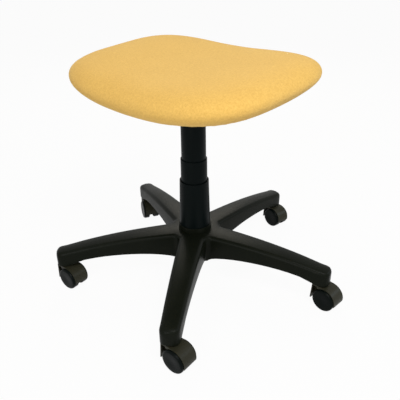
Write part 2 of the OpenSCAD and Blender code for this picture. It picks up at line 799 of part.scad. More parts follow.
// lower sleeve, standing on the hub inside its ring
module cover_lower() {
    color(sleeve_colour) translate([0, 0, hub_top_z])
        sleeve(lower_foot_d, lower_top_d, lower_wall, lower_l);
}

// Base. Each arm is a skin over sections across its length.
function arm_run(x) = clamped((x - arch_start_r) / (stem_circle_r - arch_start_r));
function arm_top_z(x) = hub_top_z - arm_drop - arm_fall_straight * arm_run(x)
    - arm_fall_curved * pow(arm_run(x), fall_power);
function arch_run(x) =
    clamped((x - arch_start_r) / (stem_circle_r - arch_end_back - arch_start_r));
function arm_foot_z(x) = mix(hub_foot_z, caster_h, arch_run(x))
    + arm_arch * pow(4 * arch_run(x) * (1 - arch_run(x)), arch_shape);

half_bay = 180 / arm_count;
arm_slope = (arm_hub_w - arm_tip_w) / 2 / (stem_circle_r - arch_start_r);
function arm_half_w(x) = arm_hub_w / 2 - arm_slope * (x - arch_start_r);
edge_norm = sqrt(1 + arm_slope * arm_slope);
root_centre = (arm_half_w(0) + root_r * edge_norm) / (sin(half_bay) + arm_slope * cos(half_bay));
root_x = root_centre * cos(half_bay);
root_y = root_centre * sin(half_bay);
root_end_deg = 90 - atan(arm_slope);
root_steps = 4;

hub_ring_r = tube_r + hub_ring_wall;
pocket_start = hub_ring_r + hub_ring_wall;
tip_core_r = min(arm_tip_w / 2, tip_overhang) - arm_wall;
tip_core_h = 14;
core_sides = 24;
core_turn = 90 / core_sides;                   // no corner of the core on the arm's midline
pocket_end = stem_circle_r - tip_core_r - arm_wall;
stem_boss_wall = 4;
stem_bore_d = stem_d + 2 * fit_gap;
boss_r = stem_bore_d / 2 + stem_boss_wall;
cross_rib_shares = [0.12, 0.29, 0.46, 0.63, 0.8];
rib_xs = [for (share = cross_rib_shares) mix(pocket_start, pocket_end, share)];
cell_starts = concat([pocket_start], [for (x = rib_xs) x + rib_t / 2]);
cell_ends = concat([for (x = rib_xs) x - rib_t / 2], [pocket_end]);
// sections stand on the ribs and midway between them, clear of the hollows' end walls
arm_xs = concat([rib_xs[0]],
    [for (k = [1 : len(rib_xs) - 1]) each [(rib_xs[k - 1] + rib_xs[k]) / 2, rib_xs[k]]],
    [for (x = [rib_xs[len(rib_xs) - 1], tip_x - tip_end_r]) (x + pocket_end) / 2],
    [tip_x - tip_end_r]);

// a section is [distance, half width, edge radius, top, foot]
function plain_section(x) = [x, arm_half_w(x), arm_edge_r, arm_top_z(x), arm_foot_z(x)];
root_sections = [for (k = [0 : root_steps])
    let (a = mix(half_bay, root_end_deg, k / root_steps), x = root_x - root_r * cos(a))
    [x, root_y - root_r * sin(a), arm_edge_r, arm_top_z(x), arm_foot_z(x)]];
arm_sections = [for (x = arm_xs) plain_section(x)];
tip_section_degs = [30, 55, 75, 88];
tip_sections = [for (a = tip_section_degs)
    let (x = tip_x - tip_end_r + tip_end_r * sin(a),
         w = arm_half_w(x) - tip_end_r * (1 - cos(a)))
    [x, w, min(arm_edge_r, w * tip_edge_share), arm_top_z(x) - tip_top_r * (1 - cos(a)),
        arm_foot_z(x)]];
sections = concat(root_sections, arm_sections, tip_sections);
ring_points = 2 * edge_steps + 6;
function foot_crown_at(x) = let (run = arch_run(x))
    foot_crown * clamped(arch_crown_rate * min(run, 1 - run));
function arm_ring(s) = let (x = s[0], w = s[1], r = s[2], top = s[3], foot = s[4])
    concat([[x, w, foot]],
        [for (k = [0 : edge_steps]) let (a = 90 * k / edge_steps)
            [x, w - r * (1 - cos(a)), top - arm_crown - r * (1 - sin(a))]],
        [[x, 0, top]],
        [for (k = [edge_steps : -1 : 0]) let (a = 90 * k / edge_steps)
            [x, -w + r * (1 - cos(a)), top - arm_crown - r * (1 - sin(a))]],
        [[x, -w, foot], [x, 0, foot + foot_crown_at(x)]]);
function turned(p, deg) =
    [p[0] * cos(deg) - p[1] * sin(deg), p[0] * sin(deg) + p[1] * cos(deg), p[2]];
function arm_deg(k) = first_arm_deg + k * 360 / arm_count;

// the five arms as one closed skin: neighbours share the corner between them, and two
// fans close the middle above and below
module star_skin() {
    count = len(sections);
    per_arm = count * ring_points;
    foot_mid = ring_points - 1;
    side_last = foot_mid - 1;
    left_edge = 1 + edge_steps;
    right_edge = side_last - left_edge;
    function at(k, i, j) = i == 0 && j <= 1
        ? ((k + 1) % arm_count) * per_arm + side_last - j
        : (k % arm_count) * per_arm + i * ring_points + j;
    top_centre = arm_count * per_arm;
    foot_centre = top_centre + 1;
    points = concat([for (k = [0 : arm_count - 1], s = sections, p = arm_ring(s))
        turned(p, arm_deg(k))], [[0, 0, hub_top_z - hub_dish], [0, 0, hub_foot_z]]);
    walls = [for (k = [0 : arm_count - 1], i = [0 : count - 2], j = [0 : foot_mid])
        let (n = (j + 1) % ring_points)
        each [[at(k, i, j), at(k, i + 1, n), at(k, i, n)],
            [at(k, i, j), at(k, i + 1, j), at(k, i + 1, n)]]];
    ends = [for (k = [0 : arm_count - 1], j = [1 : foot_mid - 1])
        [at(k, count - 1, 0), at(k, count - 1, j + 1), at(k, count - 1, j)]];
    corner_tips = [for (k = [0 : arm_count - 1])
        [at(k, 0, 1), at(k, 0, 2), at(k + 1, 0, side_last - 2)]];
    corners = [for (k = [0 : arm_count - 1], e = [1 : edge_steps - 1])
        let (a = at(k, 0, 1 + e), b = at(k, 0, 2 + e),
             c = at(k + 1, 0, side_last - 2 - e), d = at(k + 1, 0, side_last - 1 - e))
        each [[a, b, c], [a, c, d]]];
    tops = [for (k = [0 : arm_count - 1])
        each [[top_centre, at(k, 0, left_edge + 1), at(k, 0, right_edge)],
            [top_centre, at(k, 0, left_edge), at(k, 0, left_edge + 1)],
            [top_centre, at(k + 1, 0, right_edge), at(k, 0, left_edge)]]];
    feet = [for (k = [0 : arm_count - 1])
        each [[foot_centre, at(k, 0, side_last), at(k, 0, foot_mid)],
            [foot_centre, at(k, 0, foot_mid), at(k, 0, 0)]]];
    polyhedron(points = points, faces = concat(walls, ends, corner_tips, corners, tops, feet),
        convexity = 10);
}

// one side of the hollow under an arm at a distance: from the middle rib to the wall
function pocket_half_w(x) =
    min(arm_half_w(x) - arm_wall, x * tan(half_bay) - arm_wall / 2 / cos(half_bay));
function cell_ring(x, side) =
    let (in = side * rib_t / 2, out = side * pocket_half_w(x), low = hub_foot_z - 2 * over,
        top = arm_top_z(x) - arm_crown - arm_top_wall, r = arm_edge_r - arm_wall / 2,
        loop = [[x, in, top], [x, out - side * r, top], [x, out, top - r], [x, out, low],
            [x, in, low]])
    side > 0 ? reversed(loop) : loop;

// the hollows between the ribs, and the ring cored out round the stem socket
module arm_pockets() {
    for (c = [0 : len(cell_starts) - 1], side = [-1, 1])
        skin([cell_ring(cell_starts[c], side), cell_ring(cell_ends[c], side)]);
    translate([stem_circle_r, 0, caster_h - over]) difference() {
        rotate([0, 0, core_turn]) ring(tip_core_r, boss_r, tip_core_h + over, $fn = core_sides);
        for (turn = [45, 135]) rotate([0, 0, turn]) translate([0, 0, tip_core_h / 2])
            cube([2 * tip_core_r + over, rib_t, tip_core_h + 4 * over], center = true);
    }
}

module at_arms() {
    for (k = [0 : arm_count - 1]) rotate([0, 0, arm_deg(k)]) children();
}

// the moulding before its bores; a resize by nothing keeps it as one mesh
module star_shell() {
    resize([0, 0, 0]) difference() {
        star_skin();
        at_arms() arm_pockets();
    }
}

// moulded nylon star: hub with taper socket, five hollow ribbed arms, stem sockets
module star_base() {
    collar_in_r = lower_foot_d / 2 + fit_gap / 2;
    bore_top_r = tube_r + taper_gap;
    bore_foot_r = tube_out_r(tube_foot_z) + taper_gap;
    hub_mouth_z = hub_top_z + collar_h + over;
    color(nylon_colour) difference() {
        union() {
            star_shell();
            translate([0, 0, hub_top_z - hub_skin])
                cylinder(r = collar_d / 2, h = hub_skin + collar_h);
        }
        at_arms() translate([stem_circle_r, 0, caster_h - over])
            cylinder(d = stem_bore_d, h = stem_l + 2 * over);
        rotate_extrude() polygon([[0, hub_foot_z - over], [bore_foot_r, hub_foot_z - over],
            [bore_foot_r, tube_foot_z], [bore_top_r, tube_foot_z + hub_taper_l],
            [bore_top_r, hub_top_z], [collar_in_r, hub_top_z], [collar_in_r, hub_mouth_z],
            [0, hub_mouth_z]]);
    }
}

// Casters. Each is built with its stem on the Z axis and its wheels behind, along +X.
module at_caster(index) {
    rotate([0, 0, first_arm_deg + index * 360 / arm_count]) translate([stem_circle_r, 0, 0])
        rotate([0, 0, trail_dirs[index] - first_arm_deg - index * 360 / arm_count]) children();
}

stem_flange_d = 17;
stem_flange_t = hood_top_gap - fit_gap;
pivot_d = 9;
pivot_stand = 9;                              // pivot's foot above the axle
pivot_foot_z = wheel_r + pivot_stand;
stem_chamfer = 1;
ring_groove_d = 9.4;
ring_groove_h = 8;
ring_groove_z = caster_h + stem_l / 2 - ring_groove_h / 2;

// steel stem: shank in the arm, flange, pivot in the hood
module stem(index) {
    color("silver") at_caster(index) difference() {
        union() {
            translate([0, 0, caster_h - slip]) cylinder(d = stem_d, h = stem_l - stem_chamfer);
            translate([0, 0, caster_h + stem_l - stem_chamfer - slip])
                cylinder(d1 = stem_d, d2 = stem_d - 2 * stem_chamfer, h = stem_chamfer);
            translate([0, 0, caster_h - stem_flange_t]) cylinder(d = stem_flange_d, h = stem_flange_t);
            translate([0, 0, pivot_foot_z])
                cylinder(d = pivot_d, h = caster_h - pivot_foot_z);
        }
        translate([0, 0, ring_groove_z]) ring(stem_d, ring_groove_d / 2, ring_groove_h);
    }
}

ring_slit = 1;

// split spring ring that grips the arm's socket
module grip_ring(index) {
    color([0.55, 0.55, 0.57]) at_caster(index) translate([0, 0, ring_groove_z + slip])
        difference() {
            ring(stem_bore_d / 2 - slip, ring_groove_d / 2 + slip, ring_groove_h - 2 * slip);
            translate([0, -ring_slit / 2, -over])
                cube([stem_d, ring_slit, ring_groove_h + 2 * over]);
        }
}

skirt_top_x = -10.5;                          // leading wall of the hood, top
skirt_tip_x = -13;                            // and its lower tip
skirt_tip_z = 16;
skirt_wall = 2;
hood_end_deg = 12;                            // hood's trailing edge below the axle line
web_disc_r = 18;
hood_boss_r = 10;
far = 3 * wheel_d;                            // reach of the cuts that open the hood

// side view of the hood, x to the trail and y for height
module hood_outline(inset) {
    difference() {
        union() {
            translate([trail, wheel_r]) circle(hood_r - inset);
            polygon([[skirt_tip_x + inset, skirt_tip_z - inset], [skirt_top_x + inset,
                hood_top_z - inset], [0, hood_top_z - inset],
                [trail, wheel_r + hood_r - inset], [trail, wheel_r]]);
        }
        polygon([[trail, wheel_r], [trail + far, wheel_r - far * tan(hood_end_deg) - inset],
            [trail + far, -far], [-far, -far], [-far, skirt_tip_z - inset],
            [skirt_tip_x + inset, skirt_tip_z - inset]]);
    }
}

// extrudes a side view across the caster, from one lateral place to the other
module across(from_y, to_y) {
    translate([0, to_y, 0]) rotate([90, 0, 0]) linear_extrude(to_y - from_y) children();
}

// moulded hood: shell over both wheels, web between them, boss round the pivot
module hood(index) {
    color(nylon_colour) at_caster(index) difference() {
        union() {
            difference() {
                across(-hood_w / 2, hood_w / 2) hood_outline(0);
                for (side = [-1, 1])
                    across(side > 0 ? web_t / 2 : -hood_w / 2 - over,
                        side > 0 ? hood_w / 2 + over : -web_t / 2) {
                        translate([trail, wheel_r]) circle(cavity_r);
                        polygon([[skirt_tip_x + skirt_wall, -over], [skirt_top_x + skirt_wall,
                            hood_top_z - skirt_wall - hood_wall], [0, hood_top_z - skirt_wall
                            - hood_wall], [trail, wheel_r]]);
                    }
            }
            difference() {
                translate([0, 0, wheel_r]) cylinder(r = hood_boss_r, h = hood_top_z - wheel_r);
                for (side = [-1, 1])
                    across(side > 0 ? web_t / 2 : -hood_w, side > 0 ? hood_w : -web_t / 2)
                        translate([trail, wheel_r]) circle(cavity_r);
            }
            across(-web_t / 2, web_t / 2) translate([trail, wheel_r]) circle(web_disc_r);
        }
        translate([0, 0, pivot_foot_z - fit_gap])
            cylinder(d = pivot_d + 2 * slip, h = hood_top_z);
        translate([trail, 0, wheel_r]) rotate([90, 0, 0])
            cylinder(d = axle_d + slip, h = hood_w, center = true);
    }
}

axle_end_gap = 3.6;                           // wheel's outer skin over the axle's end

// steel axle pressed through the web
module axle(index) {
    color("silver") at_caster(index) translate([trail, 0, wheel_r]) rotate([90, 0, 0])
        cylinder(d = axle_d, h = twin_w - 2 * axle_end_gap, center = true);
}

shoulder_r = 4.4;
face_dish = 0.8;
face_rim = 3;
tread_t = 3.4;
disc_t = 3;
wheel_hub_r = 7;
tread_chamfer = 1.2;
shoulder_steps = 5;

// moulded wheel: a cup with a round shoulder, a shallow dished face and a hub inside
module wheel(index, side) {
    rim_r = wheel_r - shoulder_r;
    profile = concat(
        [[0, wheel_out_y - face_dish], [wheel_hub_r, wheel_out_y - face_dish],
            [rim_r - face_rim, wheel_out_y]],
        [for (k = [0 : shoulder_steps]) let (a = 90 * k / shoulder_steps)
            [rim_r + shoulder_r * sin(a), wheel_out_y - shoulder_r * (1 - cos(a))]],
        [[wheel_r, wheel_in_y + tread_chamfer], [wheel_r - tread_chamfer, wheel_in_y],
            [wheel_r - tread_t, wheel_in_y], [wheel_r - tread_t, wheel_out_y - disc_t],
            [wheel_hub_r, wheel_out_y - disc_t], [wheel_hub_r, wheel_in_y],
            [axle_d / 2 + slip, wheel_in_y],
            [axle_d / 2 + slip, wheel_out_y - axle_end_gap + fit_gap],
            [0, wheel_out_y - axle_end_gap + fit_gap]]);
    color(wheel_colour) at_caster(index) translate([trail, 0, wheel_r])
        rotate([-90 * side, 0, 0]) rotate_extrude() polygon(profile);
}

seat_cover();
foam_pad();
seat_board();
dust_cover();
tee_nuts();
plate_screws();
seat_plate();
lever_pin();
lever_rod();
lever_handle();
gas_cylinder();
rod_guide();
release_pin();
column_tube();
guide_bush();
piston_rod();
piston();
bumper();
upper_washer();
thrust_bearing();
lower_washer();
retaining_clip();
cover_upper();
cover_middle();
cover_lower();
star_base();
for (i = [0 : arm_count - 1]) {
    stem(i);
    grip_ring(i);
    hood(i);
    axle(i);
    wheel(i, 1);
    wheel(i, -1);
}
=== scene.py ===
import math

import bpy
from mathutils import Matrix, Vector


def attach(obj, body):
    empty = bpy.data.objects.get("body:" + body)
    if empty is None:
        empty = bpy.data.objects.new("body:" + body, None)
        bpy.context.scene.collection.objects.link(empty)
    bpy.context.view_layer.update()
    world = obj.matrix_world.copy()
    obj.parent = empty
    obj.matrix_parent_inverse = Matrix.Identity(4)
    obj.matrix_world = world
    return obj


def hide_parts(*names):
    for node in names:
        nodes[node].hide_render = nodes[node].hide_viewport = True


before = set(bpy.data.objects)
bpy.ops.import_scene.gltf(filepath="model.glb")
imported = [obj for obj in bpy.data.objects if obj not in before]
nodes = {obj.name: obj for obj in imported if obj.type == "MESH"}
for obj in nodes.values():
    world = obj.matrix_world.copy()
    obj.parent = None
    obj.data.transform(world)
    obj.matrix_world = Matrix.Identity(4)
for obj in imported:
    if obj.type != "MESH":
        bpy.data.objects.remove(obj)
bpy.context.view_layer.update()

# Camera. It stands a little above the seat, in front of the stool and off to one side, and
# looks down at it by about 28 degrees, as the photograph does.
CAMERA_AT, CAMERA_TURN_DEGS = (0.66838, -0.6598, 0.69085), (61.6218, 0.6854, 44.2568)
SENSOR_MM, LENS_MM = 36, 42.578
bpy.ops.object.camera_add(location=CAMERA_AT,
                          rotation=[math.radians(degs) for degs in CAMERA_TURN_DEGS])
camera = bpy.context.object
camera.name = "camera"
camera.data.sensor_width, camera.data.lens = SENSOR_MM, LENS_MM
bpy.context.scene.camera = camera

# Seat cushion. Moulded foam on a dished plywood board, in a felted wool-blend cover that is
# pulled round the edge and stapled underneath. The sides rise, the front falls away, and the
# cover has no seam, so the whole upper side is one smooth saddle.
SEAT_HALF_W, SEAT_HALF_D, SEAT_FORWARD = 0.246, 0.1795, 0.0105
RIM_Z, BOARD_Z, COVER_T = 0.4489, 0.422, 0.0021
CROWN, UNDER, CROWN_FULLNESS, UNDER_FULLNESS = 0.0463, 0.0384, 3.95, 3
SIDE_LIFT, FRONT_FALL, REAR_LIFT, FRONT_FLICK = 0.0274, 0.014, 0.012, 0.0107
REAR_FROM, FLICK_FROM = 0.1, 0.41
EDGE_SHARE, FLAT_SHARE, SQUARENESS = 0.9, 0.46, 3.28
SKIN_Z = BOARD_Z - COVER_T


def seat_reach(phi):
    """How far the seat's outline, a rounded oblong, reaches at an angle about its middle."""
    c, s = abs(math.cos(phi)), abs(math.sin(phi))
    return (c**SQUARENESS + s**SQUARENESS) ** (-1 / SQUARENESS)


def rim_height(u, v):
    """The rim's height, u to the side and v to the front as shares of the seat's half sizes."""
    return (RIM_Z + SIDE_LIFT * u * u - FRONT_FALL * v
            + REAR_LIFT * max(-v - REAR_FROM, 0) ** 2
            + FRONT_FLICK * max((v - FLICK_FROM) / (1 - FLICK_FROM), 0) ** 2)


def seat_point(phi, share, part, lower=0.0):
    """A point of the cushion's skin: share runs from its middle, 0, to its rim, 1."""
    u, v = (share * seat_reach(phi) * f(phi) for f in (math.cos, math.sin))
    if part == "top":
        z = rim_height(u, v) + (CROWN - lower) * math.sqrt(max(1 - share**CROWN_FULLNESS, 0))
    elif part == "edge":
        z = rim_height(u, v) - (UNDER - lower) * math.sqrt(max(1 - share**UNDER_FULLNESS, 0))
    else:
        edge = seat_point(phi, EDGE_SHARE, "edge").z
        t = max((share - FLAT_SHARE) / (EDGE_SHARE - FLAT_SHARE), 0) ** 2
        z = SKIN_Z + (edge - SKIN_Z) * t + lower
    return Vector((SEAT_HALF_W * u, -SEAT_FORWARD - SEAT_HALF_D * v, z))


def only(piece):
    """Leaves one object selected and active."""
    bpy.ops.object.select_all(action="DESELECT")
    piece.select_set(True)
    bpy.context.view_layer.objects.active = piece


def apply_modifiers(piece):
    only(piece)
    for modifier in list(piece.modifiers):
        bpy.ops.object.modifier_apply(modifier=modifier.name)


# a ball is the start: its upper half becomes the top, a belt below it the rolled edge, and the
# rest the underside
SEGMENTS, RINGS, TOP_TILT, EDGE_TILT = 112, 72, math.pi / 2, 2.3
SWELL, VOXEL = 0.004, 0.005
bpy.ops.object.select_all(action="DESELECT")
bpy.ops.mesh.primitive_uv_sphere_add(segments=SEGMENTS, ring_count=RINGS, radius=1)
cushion = bpy.context.object
cushion.name = "cushion"
swell = SWELL
for vertex in cushion.data.vertices:
    x, y, z = vertex.co
    tilt, phi = math.acos(max(-1, min(1, z))), math.atan2(y, x)
    if tilt <= TOP_TILT:
        vertex.co = seat_point(phi, math.sin(tilt), "top", swell)
    elif tilt < EDGE_TILT:
        turn = (tilt - TOP_TILT) / (EDGE_TILT - TOP_TILT) * math.pi / 2
        share = 1 - (1 - EDGE_SHARE) * (1 - math.cos(turn))
        vertex.co = seat_point(phi, share, "edge", swell / 3)
    else:
        share = EDGE_SHARE * math.sin(tilt) / math.sin(EDGE_TILT)
        vertex.co = seat_point(phi, share, "under", swell / 3)
only(cushion)
bpy.ops.object.mode_set(mode="EDIT")
bpy.ops.mesh.select_all(action="SELECT")
bpy.ops.mesh.normals_make_consistent(inside=False)
bpy.ops.object.mode_set(mode="OBJECT")
cushion.modifiers.new("even_mesh", "REMESH").voxel_size = VOXEL
cushion.modifiers["even_mesh"].mode = "VOXEL"
apply_modifiers(cushion)


def seat_share(x, y):
    """How far out a place under the seat lies, from the middle, 0, to the rim, 1."""
    u, v = abs(x) / SEAT_HALF_W, abs(y + SEAT_FORWARD) / SEAT_HALF_D
    return (u**SQUARENESS + v**SQUARENESS) ** (1 / SQUARENESS)


# the cover is filled by the foam but held down where it is stapled to the board, and the
# foam lets it move outwards only
STAPLED_SHARE, STAPLED_TOP_Z, CLOTH_STEPS, FOAM_EVENING = 0.87, RIM_Z + 0.01, 20, 40
stapled = cushion.vertex_groups.new(name="stapled")
for vertex in cushion.data.vertices:
    below = vertex.co.z < STAPLED_TOP_Z and vertex.normal.z < -0.6
    if below and seat_share(vertex.co.x, vertex.co.y) < STAPLED_SHARE:
        stapled.add([vertex.index], 1.0, "REPLACE")
cloth = cushion.modifiers.new("cover_cloth", "CLOTH")
cloth.settings.quality = 4
cloth.settings.mass = 0.25
cloth.settings.tension_stiffness = cloth.settings.compression_stiffness = 5
cloth.settings.bending_stiffness = 0.6
cloth.settings.use_pressure = True
cloth.settings.uniform_pressure_force = 4
cloth.settings.vertex_group_mass = "stapled"
cloth.settings.effector_weights.gravity = 0
cloth.collision_settings.use_collision = False
cloth.point_cache.frame_start, cloth.point_cache.frame_end = 1, CLOTH_STEPS
for step in range(1, CLOTH_STEPS + 1):
    bpy.context.scene.frame_set(step)
shaped = cushion.evaluated_get(bpy.context.evaluated_depsgraph_get())
outwards = [vertex.normal.copy() for vertex in cushion.data.vertices]
rise = [max(0, min((new.co - vertex.co).dot(out), swell)) for vertex, new, out
        in zip(cushion.data.vertices, shaped.data.vertices, outwards)]
cushion.modifiers.remove(cloth)
# the swelling is evened out over its neighbours, as thick foam does, so no crease is left
edges = [tuple(edge.vertices) for edge in cushion.data.edges]
for even in range(FOAM_EVENING):
    total, count = list(rise), [1] * len(rise)
    for first, second in edges:
        total[first] += rise[second]
        total[second] += rise[first]
        count[first] += 1
        count[second] += 1
    rise = [share / number for share, number in zip(total, count)]
for vertex, out, height in zip(cushion.data.vertices, outwards, rise):
    vertex.co += out * height
bpy.context.scene.frame_set(1)
cushion.modifiers.new("ease", "SMOOTH").iterations = 6
cushion.modifiers.new("fine", "SUBSURF").levels = 1
cushion.modifiers["fine"].render_levels = 1
apply_modifiers(cushion)
# small gathers where the cover is drawn in under the corners
GATHER_SHARE, GATHER_SPREAD, GATHER_DEPTH, GATHERS_ROUND = 0.85, 0.07, 0.0011, 74
facing_down = [vertex.normal.z < -0.5 for vertex in cushion.data.vertices]
for vertex, below in zip(cushion.data.vertices, facing_down):
    x, y, z = vertex.co
    fade = max(0, 1 - abs(seat_share(x, y) - GATHER_SHARE) / GATHER_SPREAD)
    if below and fade:
        phi = math.atan2((y + SEAT_FORWARD) / SEAT_HALF_D, x / SEAT_HALF_W)
        corner = abs(math.sin(2 * phi)) ** 3
        fold = (0.5 + 0.5 * math.sin(GATHERS_ROUND * phi)) ** 2
        vertex.co.z -= GATHER_DEPTH * corner * fade * fold
bpy.ops.object.shade_smooth()


class Wire:
    """One socket of a shader, so that its maths reads as plain arithmetic."""

    def __init__(self, shader, socket):
        self.shader, self.socket = shader, socket

    def _math(self, operation, first, second):
        return self.shader.node("ShaderNodeMath", {"operation": operation}, {0: first, 1: second})

    def __add__(self, other):
        return self._math("ADD", self, other)

    def __sub__(self, other):
        return self._math("SUBTRACT", self, other)

    def __mul__(self, other):
        return self._math("MULTIPLY", self, other)

    def __rsub__(self, other):
        return self._math("SUBTRACT", other, self)

    __radd__, __rmul__ = __add__, __mul__


class Shader:
    """A node tree. Its nodes all come from one method, as a type, settings and sockets."""

    def __init__(self, tree):
        self.tree = tree

    def node(self, kind, settings, sockets, out=0):
        made = self.tree.nodes.new(kind)
        for key, value in settings.items():
            setattr(made, key, value)
        for key, value in sockets.items():
            if isinstance(value, Wire):
                self.tree.links.new(value.socket, made.inputs[key])
            else:
                made.inputs[key].default_value = value
        return Wire(self, made.outputs[out])

    def show(self, output, wire):
        """Makes a node the one whose result is shown."""
        self.tree.links.new(wire.socket, self.tree.nodes[output].inputs["Surface"])


class Finish(Shader):
    """A material: its surface's fixed values are given by name, and nodes are added to it."""

    def __init__(self, name, **fixed):
        self.material = bpy.data.materials.new(name)
        self.material.use_nodes = True
        super().__init__(self.material.node_tree)
        self.surface = self.tree.nodes["Principled BSDF"]
        for socket, value in fixed.items():
            self.surface.inputs[socket.replace("_", " ")].default_value = value
        self.place = self.node("ShaderNodeTexCoord", {}, {}, "Object")

    def feed(self, socket, wire):
        self.tree.links.new(wire.socket, self.surface.inputs[socket])

    def noise(self, scale, detail=2.0, roughness=0.5):
        return self.node("ShaderNodeTexNoise", {},
                         {"Vector": self.place, "Scale": scale, "Detail": detail,
                          "Roughness": roughness})

    def between(self, factor, low, high):
        """A colour that runs from low to high with a factor."""
        return self.node("ShaderNodeMix", {"data_type": "RGBA"},
                         {"Factor": factor, 6: (*low, 1), 7: (*high, 1)}, 2)

    def bump(self, height, strength, distance):
        self.feed("Normal", self.node("ShaderNodeBump", {},
                                      {"Height": height, "Strength": strength,
                                       "Distance": distance}))

    def on(self, *pieces):
        for piece in pieces:
            piece.data.materials.clear()
            piece.data.materials.append(self.material)


# the cloth's colour and relief come from the mottle of its matted fibres, the fine nap over
# them, and a slow drift of the dye
felt = Finish("felted_cover", Roughness=0.92, Specular_IOR_Level=0.15, Sheen_Weight=0.32,
              Sheen_Roughness=0.5, Sheen_Tint=(1.0, 0.78, 0.42, 1))
nap = felt.node("ShaderNodeTexVoronoi", {"feature": "SMOOTH_F1"},
                {"Vector": felt.place, "Scale": 430.0, "Smoothness": 0.5})
mottle = felt.noise(270.0, 5.0, 0.7)
drift = felt.noise(14.0, 2.0)
shade = mottle * 1.3 + nap * 0.35 + drift * 0.2 - 0.42
felt.feed("Base Color", felt.between(shade, (0.66, 0.379, 0.080), (0.91, 0.593, 0.164)))
felt.bump(mottle * 0.9 + nap * 0.5, strength=0.6, distance=0.0012)
felt.on(cushion)
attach(cushion, "seat")
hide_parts("seat_cover", "foam_pad")

# Dust cover. A thin black non-woven sheet under the seat, its edge folded in and stapled over
# the turned-in cover, and cut out round the seat plate. It sags a little between its staples.
DUST_SHARE, DUST_T, DUST_GAP = 0.80, 0.0005, 0.0007
PLATE_W, PLATE_D, PLATE_GAP, PLATE_SQUARENESS = 0.170, 0.140, 0.001, 9
SAG, RIPPLE, RIPPLES_ROUND = 0.0016, 0.0004, 36
AROUND, ACROSS, BELOW_SEAT_Z = 144, 14, 0.2
bpy.ops.object.select_all(action="DESELECT")
bpy.ops.mesh.primitive_grid_add(x_subdivisions=AROUND, y_subdivisions=ACROSS, size=2)
dust_sheet = bpy.context.object
dust_sheet.name = "dust_sheet"
for vertex in dust_sheet.data.vertices:
    phi, run = math.pi * (vertex.co.x + 1), (vertex.co.y + 1) / 2
    outer = seat_point(phi, DUST_SHARE, "under")
    squared = (abs(math.cos(phi)) ** PLATE_SQUARENESS
               + abs(math.sin(phi)) ** PLATE_SQUARENESS) ** (-1 / PLATE_SQUARENESS)
    inner = Vector(((PLATE_W / 2 + PLATE_GAP) * squared * math.cos(phi),
                    -(PLATE_D / 2 + PLATE_GAP) * squared * math.sin(phi), 0))
    at = inner.lerp(outer, run)
    struck, under, facing, face = cushion.ray_cast((at.x, at.y, BELOW_SEAT_Z), (0, 0, 1))
    sag = SAG * math.sin(math.pi * run) ** 2 + RIPPLE * run**6 * math.cos(RIPPLES_ROUND * phi)
    vertex.co = under - Vector((0, 0, DUST_GAP + sag))
only(dust_sheet)
bpy.ops.object.mode_set(mode="EDIT")
bpy.ops.mesh.select_all(action="SELECT")
bpy.ops.mesh.remove_doubles(threshold=0.0001)
bpy.ops.mesh.normals_make_consistent(inside=False)
bpy.ops.object.mode_set(mode="OBJECT")
sheet_skin = dust_sheet.modifiers.new("thickness", "SOLIDIFY")
sheet_skin.thickness, sheet_skin.offset = DUST_T, 0
apply_modifiers(dust_sheet)
bpy.ops.object.shade_smooth_by_angle(angle=math.radians(50))
nonwoven = Finish("black_nonwoven", Roughness=0.95, Specular_IOR_Level=0.2)
fibres = nonwoven.noise(900.0, 3.0, 0.7)
nonwoven.feed("Base Color", nonwoven.between(fibres, (0.006, 0.006, 0.006), (0.03, 0.03, 0.031)))
nonwoven.bump(fibres, strength=0.5, distance=0.0004)
nonwoven.on(dust_sheet)
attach(dust_sheet, "seat")
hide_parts("dust_cover")

# Staples. Flat zinc plated wire staples, shot through the dust cover's edge and the turned-in
# cloth into the board, one in each dimple of the sheet, so that only their crowns show.


def metal(name, colour, rough, lines=0.0):
    """A bare metal with turning lines and faint handling marks."""
    made = Finish(name, Metallic=1.0)
    marks = made.noise(60.0, 4.0, 0.6)
    low = tuple(c * 0.82 for c in colour)
    made.feed("Base Color", made.between(marks, low, colour))
    made.feed("Roughness", rough + (marks - 0.5) * 0.15)
    if lines:
        turned = made.node("ShaderNodeTexWave", {"bands_direction": "Z"},
                           {"Vector": made.place, "Scale": lines, "Distortion": 0.3})
        made.bump(turned, strength=0.12, distance=0.0001)
    return made


STAPLE_SHARE, STAPLE_COUNT = 0.782, 36
CROWN_L, WIRE, LEG_L = 0.0116, 0.0011, 0.004
bpy.ops.object.select_all(action="DESELECT")
bpy.ops.mesh.primitive_cube_add(size=1)
staple = bpy.context.object
staple.name = "staples"
bpy.ops.object.mode_set(mode="EDIT")
bpy.ops.transform.resize(value=(CROWN_L, WIRE, WIRE / 2))
for side in (-1, 1):
    bpy.ops.mesh.select_all(action="SELECT")
    bpy.ops.mesh.bisect(plane_co=(side * (CROWN_L / 2 - WIRE), 0, 0), plane_no=(1, 0, 0))
bpy.ops.mesh.select_all(action="DESELECT")
bpy.ops.object.mode_set(mode="OBJECT")
for face in staple.data.polygons:
    face.select = face.normal.z < -0.9 and abs(face.center.x) > CROWN_L / 2 - WIRE
bpy.ops.object.mode_set(mode="EDIT")
bpy.ops.mesh.select_mode(type="FACE")
bpy.ops.mesh.extrude_region_move(TRANSFORM_OT_translate={"value": (0, 0, -LEG_L)})
bpy.ops.object.mode_set(mode="OBJECT")
round_bend = staple.modifiers.new("bend", "BEVEL")
round_bend.width, round_bend.segments, round_bend.limit_method = WIRE / 5, 2, "ANGLE"
apply_modifiers(staple)
bpy.ops.object.shade_smooth_by_angle(angle=math.radians(40))
zinc = metal("zinc_plate", (0.66, 0.67, 0.66), rough=0.34)
zinc.on(staple)
staples = []
